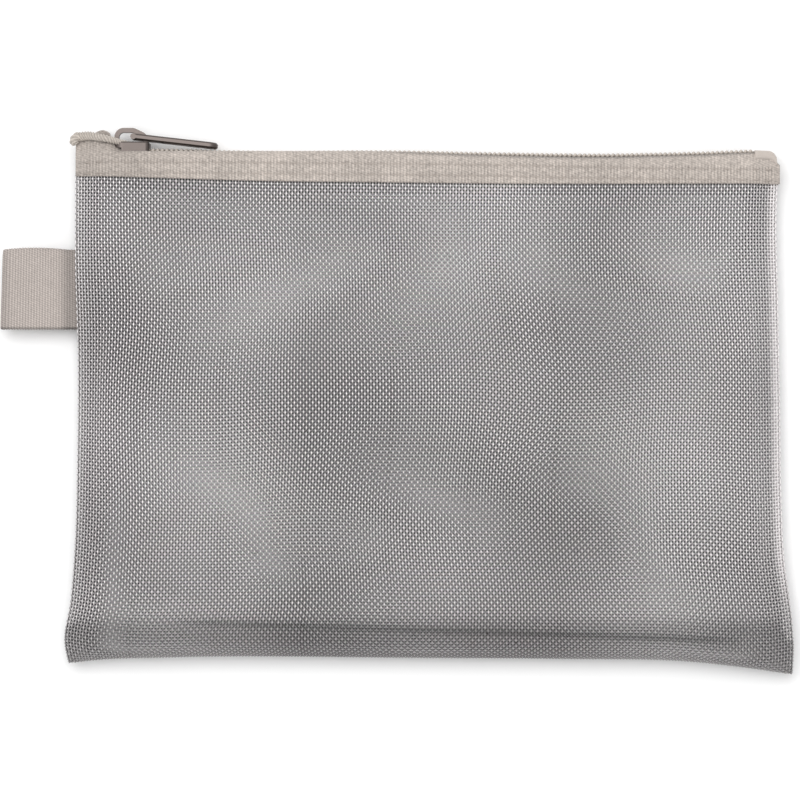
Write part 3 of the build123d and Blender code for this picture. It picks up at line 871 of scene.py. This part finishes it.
def tape_end(x):
    """From 0 along the straight part of the zip to 1 at its ends, where the two tapes meet."""
    return ramp(np.abs(x), TAPE_STRAIGHT, HALF_MOUTH - TAPE_STRAIGHT)


def end_drop(x):
    """How far the top of the zip drops at its two ends."""
    return grown(np.abs(x), *END_DROP)


def tape_lines(side, x, thickness):
    """The middle of the tape's cut at each place along it: height, distance from the chain and outward direction."""
    half = thickness / 2
    depth = mix(HALF_DEPTH - half, SEAM_DEPTH, tape_end(x))
    start, run = PARTING[side]
    parting = ramp(x, start, -run)
    bend = (math.pi / 2 + np.radians(smooth_curve(TAPE_LEAN, x))) * (1 - PART_SHARE * parting)
    radius = np.minimum(TAPE_BEND, (depth - EDGE_GAP) * BEND_SHARE)
    full = TAPE_BEND * math.pi / 2 + HALF_DEPTH - half - TAPE_BEND - EDGE_GAP
    closed = radius * math.pi / 2 + depth - radius - EDGE_GAP
    developed = mix(closed, full, parting)
    bend_y = ZIP_TOP - half - radius + smooth_curve(TAPE_CREST, x) - end_drop(x) - grown(x, *RIGHT_CORNER)
    low = tape_low_line(x)
    if side < 0:
        bend_y = bend_y + grown(x, *LEFT_HUMP) * ramp(x, *LEFT_HUMP_END)
        # The back tape reaches lower here, so that its inner side in painted shade darkens the mesh under the zip
        low = low - grown(np.abs(x) - HALF_MOUTH, *BACK_TAPE_DROP)
    shares = np.linspace(0, 1, FACE_STEPS)
    heights = [mix(low, bend_y, s) for s in shares]
    depths = [depth for s in shares]
    turns = [np.zeros_like(x) for s in shares]
    for s in np.linspace(0, 1, BEND_STEPS)[1:]:
        heights.append(bend_y + radius * np.sin(bend * s))
        depths.append(depth - radius * (1 - np.cos(bend * s)))
        turns.append(bend * s)
    flange = developed - radius * bend
    corner_y, corner_depth = heights[-1], depths[-1]
    for s in np.linspace(0, 1, FLANGE_STEPS)[1:]:
        heights.append(corner_y + flange * s * np.cos(bend))
        depths.append(corner_depth - flange * s * np.sin(bend))
        turns.append(bend)
    return np.array(heights).T, np.array(depths).T, np.array(turns).T


def row_points(side, x, height, depth):
    return np.stack((np.broadcast_to(x, np.shape(height)), height, CHAIN_Z + side * depth), axis=-1)


def tape_strip(name, side, start, end, sizes):
    """One length of zip tape, bent over at the top, with a ring of points at every quarter of a rib."""
    steps = round((end - start) / sizes.tape_rib_pitch * 4)
    run = np.linspace(start, end, steps + 1)
    height, depth, turn = tape_lines(side, run, sizes.tape_thickness)
    half = sizes.tape_thickness / 2
    x = run[:, None]
    level = height + smooth_curve(ROW_DROP, x)
    drawn = sum(np.exp(-(((level - row) / ROW_HALF) ** 2)) for row in ROW_HEIGHTS)
    out, lip = half - STITCH_SINK * drawn, half * EDGE_ROUND
    outer = row_points(side, x, height + out * np.sin(turn), depth + out * np.cos(turn))
    inner = row_points(side, x, height - half * np.sin(turn), depth - half * np.cos(turn))
    foot = row_points(side, x, height[:, :1] - lip, depth[:, :1])
    tip_turn = turn[:, -1:]
    tip = row_points(side, x, height[:, -1:] + lip * np.cos(tip_turn), depth[:, -1:] - lip * np.sin(tip_turn))
    sections = np.concatenate((outer, tip, inner[:, ::-1], foot), axis=1)
    # Shade: duller to the left, dark on the back tape's inner side, on the crest, in the stitch rows and by the cord
    dull = grown(x, *DULL_LEFT) + patches(x, 0, *DULL_WAVE)
    inside = grown(height - tape_low_line(x), *INSIDE_SHADE) * (side < 0)
    crest = grown(turn, *CREST_SHADE) * ramp(x, *CREST_X)
    by_cord = np.exp(-(((height - smooth_curve(CORD_LINE, x) + CORD_BELOW) / CORD_SHADE_HALF) ** 2))
    by_cord = by_cord * grown(x - CORD_START, *CORD_SHADE) * (side > 0)
    outside = dull + crest + by_cord + STITCH_SHADE * drawn
    shade = np.concatenate((outside, dull, (dull + inside)[:, ::-1], dull), axis=1)
    # The ribs fade above the stitches and at the ends
    upper = grown(level - ROW_HEIGHTS[1], *RIB_FADE)
    upper = np.concatenate((upper, upper[:, -1:], upper[:, ::-1], upper[:, :1]), axis=1)
    plain = np.maximum(ramp(np.abs(x) - HALF_MOUTH, *RIB_END), upper)
    material = finish("tape_cloth")
    return ribbed(name, sections, run, sizes.tape_rib_pitch, sizes.tape_rib_depth, material, shade, plain)


class WALLET_OT_zip_tapes(bpy.types.Operator):
    """Make the ribbed tapes along both lips of the mouth"""

    bl_idname = "wallet.zip_tapes"
    bl_label = "Zip tapes"

    def execute(self, context):
        sizes = context.scene.wallet_sizes
        for half, start, end in (("left", -HALF_MOUTH, 0.0), ("right", 0.0, HALF_MOUTH)):
            tape = tape_strip(f"front_tape_{half}", 1, start, end, sizes)
            on_lip(tape, half, "tape", "front_tape", "front_tape_ends")
        tape = tape_strip("back_tape_cloth", -1, -HALF_MOUTH, HALF_MOUTH, sizes)
        on_pouch(tape, "tape", "back_tape")
        return {"FINISHED"}


def tube_mesh(name, path, radius, sides, closed):
    """A tube round a short path, with its sides counted in a few."""
    if closed:
        way = np.roll(path, -1, 0) - np.roll(path, 1, 0)
    else:
        way = np.gradient(path, axis=0)
    way = unit(way)
    first = unit(np.cross(way, (1.0, 0.0, 0.0) if closed else (0.0, 1.0, 0.0)))
    second = np.cross(way, first)
    angles = ((np.arange(sides) + 0.5) * math.tau / sides)[None, :, None]
    rings = path[:, None] + radius * (np.cos(angles) * first[:, None] + np.sin(angles) * second[:, None])
    return ring_mesh(name, rings, closed)


def coil_turn(sizes):
    """One turn of the coil, lying across the tape's edge."""
    wire = sizes.coil_wire / 2
    angles = np.linspace(0, math.tau, COIL_STEPS, endpoint=False)
    corner = np.abs(np.cos(angles)) ** COIL_SQUARE * np.sign(np.cos(angles))
    along = COIL_SLANT * sizes.coil_pitch * np.sin(angles)
    across = COIL_MIDDLE + (COIL_REACH - wire) * corner
    height = COIL_HEIGHT + (COIL_HEIGHT - wire) * np.sin(angles)
    return tube_mesh("coil_turn", np.stack((along, across, height), axis=-1), wire, COIL_SIDES, True)


def stitch_shape(sizes):
    """One stitch, a short length of thread that dips into the cloth at both ends."""
    share = np.linspace(-1, 1, STITCH_STEPS)
    height = -sizes.stitch_thread * (STITCH_SEAT + STITCH_DIP * share**4)
    path = np.stack((share * sizes.stitch_length / 2, np.zeros(STITCH_STEPS), height), axis=-1)
    return tube_mesh("stitch", path, sizes.stitch_thread / 2, STITCH_SIDES, False)


def lay_row(side, element, points, along, up, material, slot, front, back):
    """Set an element along one lip: in two halves at the front, which bows out, and in one row at the back."""
    everywhere = np.full(len(points), True)
    halves = (("left", points[:, 0] < 0), ("right", points[:, 0] >= 0)) if side > 0 else (("", everywhere),)
    name, *nodes = front if side > 0 else back
    for half, chosen in halves:
        base = link_mesh("row", points[chosen])
        give(base, "along", "FLOAT_VECTOR", along[chosen])
        give(base, "up", "FLOAT_VECTOR", up[chosen])
        row = realised(base, row_tree, {"Element": element, "Finish": material}, name + half)
        if half:
            on_lip(row, half, slot, *nodes)
        else:
            on_pouch(row, slot, *nodes)


def flange_edge(side, x, sizes):
    """Where the coil sits: the tape's inner edge, the way along it and the way out of it."""
    half = sizes.tape_thickness / 2
    height, depth, turn = (line[:, -1] for line in tape_lines(side, x, sizes.tape_thickness))
    points = row_points(side, x, height + half * np.sin(turn), depth + half * np.cos(turn))
    along = side * unit(np.gradient(points, axis=0))
    up = np.stack((np.zeros_like(x), np.sin(turn), side * np.cos(turn)), axis=-1)
    return points, along, up


class WALLET_OT_coil_rows(bpy.types.Operator):
    """Wind the two coil rows of the zip along the edges of the tapes, with the over-sewn cord at their left end"""

    bl_idname = "wallet.coil_rows"
    bl_label = "Coil rows"
    end_reach = 0.0003
    cord_lay, cord_raise = 0.0025, 0.0006
    cord_inset, cord_overlap = 0.0006, 0.0012
    cord_steps, curl_steps = 120, 30
    curl_turn = math.pi * 0.7
    curl_size = (-0.0008, 0.0011, 0.0003)

    def execute(self, context):
        sizes = context.scene.wallet_sizes
        material = finish("coil_nylon")
        element = coil_turn(sizes)
        first = math.ceil(CORD_START / sizes.coil_pitch)
        last = math.floor((end_tab_low.x + self.end_reach) / sizes.coil_pitch)
        front, back = ("front_coil_", "front_coil", "front_coil_ends"), ("back_coil_row", "back_coil")
        for side, shift in ((1, 0.0), (-1, 0.5)):
            x = (np.arange(first, last) + shift) * sizes.coil_pitch
            lay_row(side, element, *flange_edge(side, x, sizes), material, "coil", front, back)
        bpy.data.objects.remove(element)
        x = np.linspace(-HALF_MOUTH + self.cord_inset, CORD_START + self.cord_overlap, self.cord_steps)
        _, depth, _ = tape_lines(1, x, sizes.tape_thickness)
        points = row_points(1, x, smooth_curve(CORD_LINE, x), depth[:, -3] + self.cord_raise)
        hang = np.linspace(0, self.curl_turn, self.curl_steps)[::-1, None]
        curl = np.hstack((np.sin(hang), np.cos(hang) - 1, np.sin(hang))) * self.curl_size
        path = np.concatenate((points[0] + curl[:-1], points))
        base = link_mesh("cord", path, [(i, i + 1) for i in range(len(path) - 1)])
        values = {"Diameter": sizes.cord_diameter, "Lay": self.cord_lay, "Finish": finish("cord_cloth")}
        on_pouch(realised(base, cord_tree, values, "front_coil_cord"), "coil", "front_coil_ends")
        return {"FINISHED"}


class WALLET_OT_stitches(bpy.types.Operator):
    """Sew two rows of stitches along each tape"""

    bl_idname = "wallet.stitches"
    bl_label = "Stitches"
    end_margin = 0.0015

    def execute(self, context):
        sizes = context.scene.wallet_sizes
        stitch = stitch_shape(sizes)
        pitch = sizes.stitch_length + sizes.stitch_gap
        count = math.floor((HALF_MOUTH - self.end_margin) / pitch)
        x = (np.arange(-count, count) + 0.5) * pitch
        depth = mix(HALF_DEPTH, SEAM_DEPTH + sizes.tape_thickness / 2, tape_end(x)) - STITCH_SINK
        for side in (1, -1):
            rows = [row_points(side, x, height - smooth_curve(ROW_DROP, x), depth) for height in ROW_HEIGHTS]
            along = unit(np.concatenate([np.gradient(row, axis=0) for row in rows]))
            places = np.concatenate(rows)
            up = np.tile((0.0, 0.0, float(side)), (len(places), 1))
            names = ("front_stitches_",), ("back_stitches",)
            lay_row(side, stitch, places, along, up, finish("stitch_thread"), "tape", *names)
        bpy.data.objects.remove(stitch)
        return {"FINISHED"}


class WALLET_OT_end_tab(bpy.types.Operator):
    """Close the right-hand end of the chain with a folded strip of tape"""

    bl_idname = "wallet.end_tab"
    bl_label = "Zip end tab"
    inset_right = 0.0006
    stand_out, stand_up = 0.00012, 0.00046
    thickness, rounding, leg = 0.0005, 0.0012, 0.0018
    right_corner = (0.0008, 0.0708, 0.0010)
    inset_share, rib_share = 0.6, 0.1
    length_steps, round_steps, top_steps = 27, 9, 12

    def execute(self, context):
        sizes = context.scene.wallet_sizes
        x = np.linspace(end_tab_low.x, end_tab_high.x - self.inset_right, self.length_steps)
        half_wide = mix(HALF_DEPTH, SEAM_DEPTH + sizes.tape_thickness / 2, tape_end(x)) + self.stand_out
        crest = ZIP_TOP + smooth_curve(TAPE_CREST, x) + self.stand_up
        top = crest - end_drop(x) - grown(x, *self.right_corner)
        round_off = np.minimum(self.rounding, half_wide * 0.5)
        turn = np.linspace(0, math.pi / 2, self.round_steps)
        rings = []
        for inset in (0.0, self.thickness):
            wide, high, bend = half_wide - inset, top - inset, round_off - inset * self.inset_share
            leg = [(wide, top - self.leg)]
            leg += [(wide - bend + bend * math.cos(a), high - bend + bend * math.sin(a)) for a in turn]
            end, y = leg[-1]
            level = [(mix(end, -end, s), y) for s in np.linspace(0, 1, self.top_steps)[1:-1]]
            rings.append(leg + level + [(-d, y) for d, y in reversed(leg)])
        across, y = np.array(rings[0] + rings[1][::-1]).transpose(1, 2, 0)
        sections = np.stack((np.broadcast_to(x[:, None], y.shape), y, CHAIN_Z + across), axis=-1)
        pitch, depth = sizes.tape_rib_pitch, sizes.tape_rib_depth * self.rib_share
        tab = ribbed("zip_end_cloth", sections, x, pitch, depth, finish("smooth_cloth"))
        on_pouch(tab, "tape", "zip_end_tab")
        return {"FINISHED"}


class WALLET_OT_slider(bpy.types.Operator):
    """Give the slider and its pull their plated finish"""

    bl_idname = "wallet.slider"
    bl_label = "Slider and pull"

    def execute(self, context):
        for name in ("slider_body", "pull_tab"):
            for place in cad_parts[name].material_slots:
                place.material = finish("gunmetal")
        return {"FINISHED"}


class WALLET_OT_hang_tab(bpy.types.Operator):
    """Fold the ribbed webbing into the tab at the left seam"""

    bl_idname = "wallet.hang_tab"
    bl_label = "Hang tab"
    root_inset, root_lift, tail = 0.00085, 0.00045, 0.0045
    selvedge, selvedge_inner, selvedge_share, side_round = 0.97, 0.94, 0.8, 1.012
    across_steps, fold_steps = 21, 25
    low_by, narrow_by, skew, bow = 0.00045, 0.00025, 0.00025, 0.0004
    bend_before, bend_after = 0.001, 0.003
    # Shade: a strength, and the start and run along the tab or across it
    root_shade, fold_shade, low_shade = (0.36, -0.0760, 0.0028), (0.16, -0.0846, -0.0022), (0.35, -0.935, -0.035)

    def execute(self, context):
        sizes = context.scene.wallet_sizes
        half = sizes.webbing_thickness / 2
        root_x, lift = tab_high.x - self.root_inset, self.root_lift
        fold = (tab_high.z - tab_low.z) / 2 - half
        fold_x = tab_low.x + half + fold
        lean = math.asin((fold - lift) / (root_x - fold_x))
        turn = np.linspace(math.pi / 2 - lean, 3 * math.pi / 2 + lean, self.fold_steps)
        bend = [(fold_x + fold * math.cos(a), fold * math.sin(a)) for a in turn]
        root = [(root_x + self.tail, lift), (root_x, lift)]
        corners = np.array([*root, *bend, (root_x, -lift), (root_x + self.tail, -lift)])
        run = np.concatenate(([0], np.cumsum(np.hypot(*np.diff(corners, axis=0).T))))
        steps = round(run[-1] / sizes.webbing_rib_pitch * 4)
        at = np.linspace(0, run[-1], steps + 1)
        path = np.stack((np.interp(at, run, corners[:, 0]), np.interp(at, run, corners[:, 1])), axis=-1)
        way = unit(np.gradient(path, axis=0))
        out = np.stack((way[:, 1], -way[:, 0]), axis=-1)
        extra = (-self.selvedge, -self.selvedge_inner)
        over = np.sort(np.append(np.linspace(-1, 1, self.across_steps), extra))
        face = np.ones(len(over))
        across = np.concatenate((over, (self.side_round,), over[::-1], (-self.side_round,)))
        rise = np.concatenate((face, (0.0,), -face, (0.0,)))
        thin = np.where(np.abs(across) > self.selvedge, self.selvedge_share, 1.0)
        flat = path[:, None] + half * (rise * thin)[None, :, None] * out[:, None]
        out_share = np.clip((root_x - flat[..., 0]) / (root_x - tab_low.x), 0, 1)
        x = flat[..., 0] + self.skew * out_share * across
        bow = self.bow * 4 * out_share * (1 - out_share) * np.maximum(across, 0)
        y = TAB_Y - self.low_by + across * (TAB_WIDTH / 2 - self.narrow_by) + bow
        sections = np.stack((x, y, CHAIN_Z + flat[..., 1]), axis=-1)
        # Shade at the root, round the fold and along the lower selvedge
        shades = ((x, self.root_shade), (x, self.fold_shade), (across, self.low_shade))
        shade = sum(grown(spot, *way) for spot, way in shades)
        pitch, depth = sizes.webbing_rib_pitch, sizes.webbing_rib_depth
        tab = ribbed("hang_tab_webbing", sections, at, pitch, depth, finish("webbing_cloth"), shade)
        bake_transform(tab)
        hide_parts("hang_tab", "hang_tab_tails")
        return {"FINISHED"}


# Stage


def seen_rays(tree):
    """One where the camera, a gloss or a clear surface looks at what is behind the wallet."""
    path = tree.nodes.new("ShaderNodeLightPath").outputs
    both = maths(tree, "MAXIMUM", path["Is Camera Ray"], path["Is Glossy Ray"])
    return maths(tree, "MAXIMUM", both, path["Is Transmission Ray"])


class WALLET_OT_stage(bpy.types.Operator):
    """Set the floor, the lamp and the camera over the wallet"""

    bl_idname = "wallet.stage"
    bl_label = "Stage"
    frame_width = 0.164
    frame_middle = (-0.00566, 0.00123)
    camera_height = 0.75
    sensor_width, near_clip = 36, 0.01
    lamp_place, lamp_size, lamp_power = (-0.10, 0.21, 0.95), 0.70, 7.15
    world_light = 0.58
    floor_half, floor_z, floor_roughness = 1.5, -0.00005, 0.9

    def execute(self, context):
        scene = context.scene
        scene.view_settings.view_transform = "Standard"
        half, low = self.floor_half, self.floor_z
        corners = [(-half, -half, low), (half, -half, low), (half, half, low), (-half, half, low)]
        floor = link_mesh("floor", corners, (), [(0, 1, 2, 3)])
        paper = bpy.data.materials.new("floor_paper")
        paper.use_nodes = True
        shader = paper.node_tree.nodes["Principled BSDF"]
        shader.inputs["Base Color"].default_value = (*scene.wallet_colours.floor, 1)
        shader.inputs["Roughness"].default_value = self.floor_roughness
        floor.data.materials.append(paper)
        scene.world = bpy.data.worlds.new("studio")
        scene.world.use_nodes = True
        tree = scene.world.node_tree
        glow = tree.nodes["Background"]
        glow.inputs["Color"].default_value = (1, 1, 1, 1)
        tree.links.new(maths(tree, "MAXIMUM", seen_rays(tree), self.world_light), glow.inputs["Strength"])
        light = bpy.data.lights.new("key_lamp", "AREA")
        light.size = self.lamp_size
        light.energy = self.lamp_power
        lamp = link_object("key_lamp", light)
        lamp.location = self.lamp_place
        lamp.rotation_euler = (-Vector(self.lamp_place)).to_track_quat("-Z", "Y").to_euler()
        camera = bpy.data.cameras.new("camera")
        camera.sensor_width = self.sensor_width
        camera.lens = self.sensor_width * (self.camera_height - CHAIN_Z) / self.frame_width
        camera.clip_start = self.near_clip
        scene.camera = link_object("camera", camera)
        scene.camera.location = (*self.frame_middle, self.camera_height)
        return {"FINISHED"}


class WALLET_PT_sidebar(bpy.types.Panel):
    """The wallet's pieces, sizes and colours"""

    bl_label = "Mesh zip wallet"
    bl_idname = "WALLET_PT_sidebar"
    bl_space_type = "VIEW_3D"
    bl_region_type = "UI"
    bl_category = "Wallet"

    def draw(self, context):
        for operator in OPERATORS:
            self.layout.operator(operator.bl_idname)
        for group in (context.scene.wallet_sizes, context.scene.wallet_colours):
            for key in group.__annotations__:
                self.layout.prop(group, key)


OPERATORS = (
    WALLET_OT_stage,
    WALLET_OT_zip_tapes,
    WALLET_OT_mesh_panels,
    WALLET_OT_coil_rows,
    WALLET_OT_stitches,
    WALLET_OT_end_tab,
    WALLET_OT_slider,
    WALLET_OT_hang_tab,
)
CLASSES = (WalletSizes, WalletColours, *OPERATORS, WALLET_PT_sidebar)


def register():
    for item in CLASSES:
        bpy.utils.register_class(item)
    bpy.types.Scene.wallet_sizes = PointerProperty(type=WalletSizes)
    bpy.types.Scene.wallet_colours = PointerProperty(type=WalletColours)


def unregister():
    del bpy.types.Scene.wallet_colours
    del bpy.types.Scene.wallet_sizes
    for item in reversed(CLASSES):
        bpy.utils.unregister_class(item)


def main():
    register()
    bpy.ops.wallet.stage()
    bpy.ops.wallet.zip_tapes()
    bpy.ops.wallet.mesh_panels()
    bpy.ops.wallet.coil_rows()
    bpy.ops.wallet.stitches()
    bpy.ops.wallet.end_tab()
    bpy.ops.wallet.slider()
    bpy.ops.wallet.hang_tab()


if __name__ == "__main__":
    main()
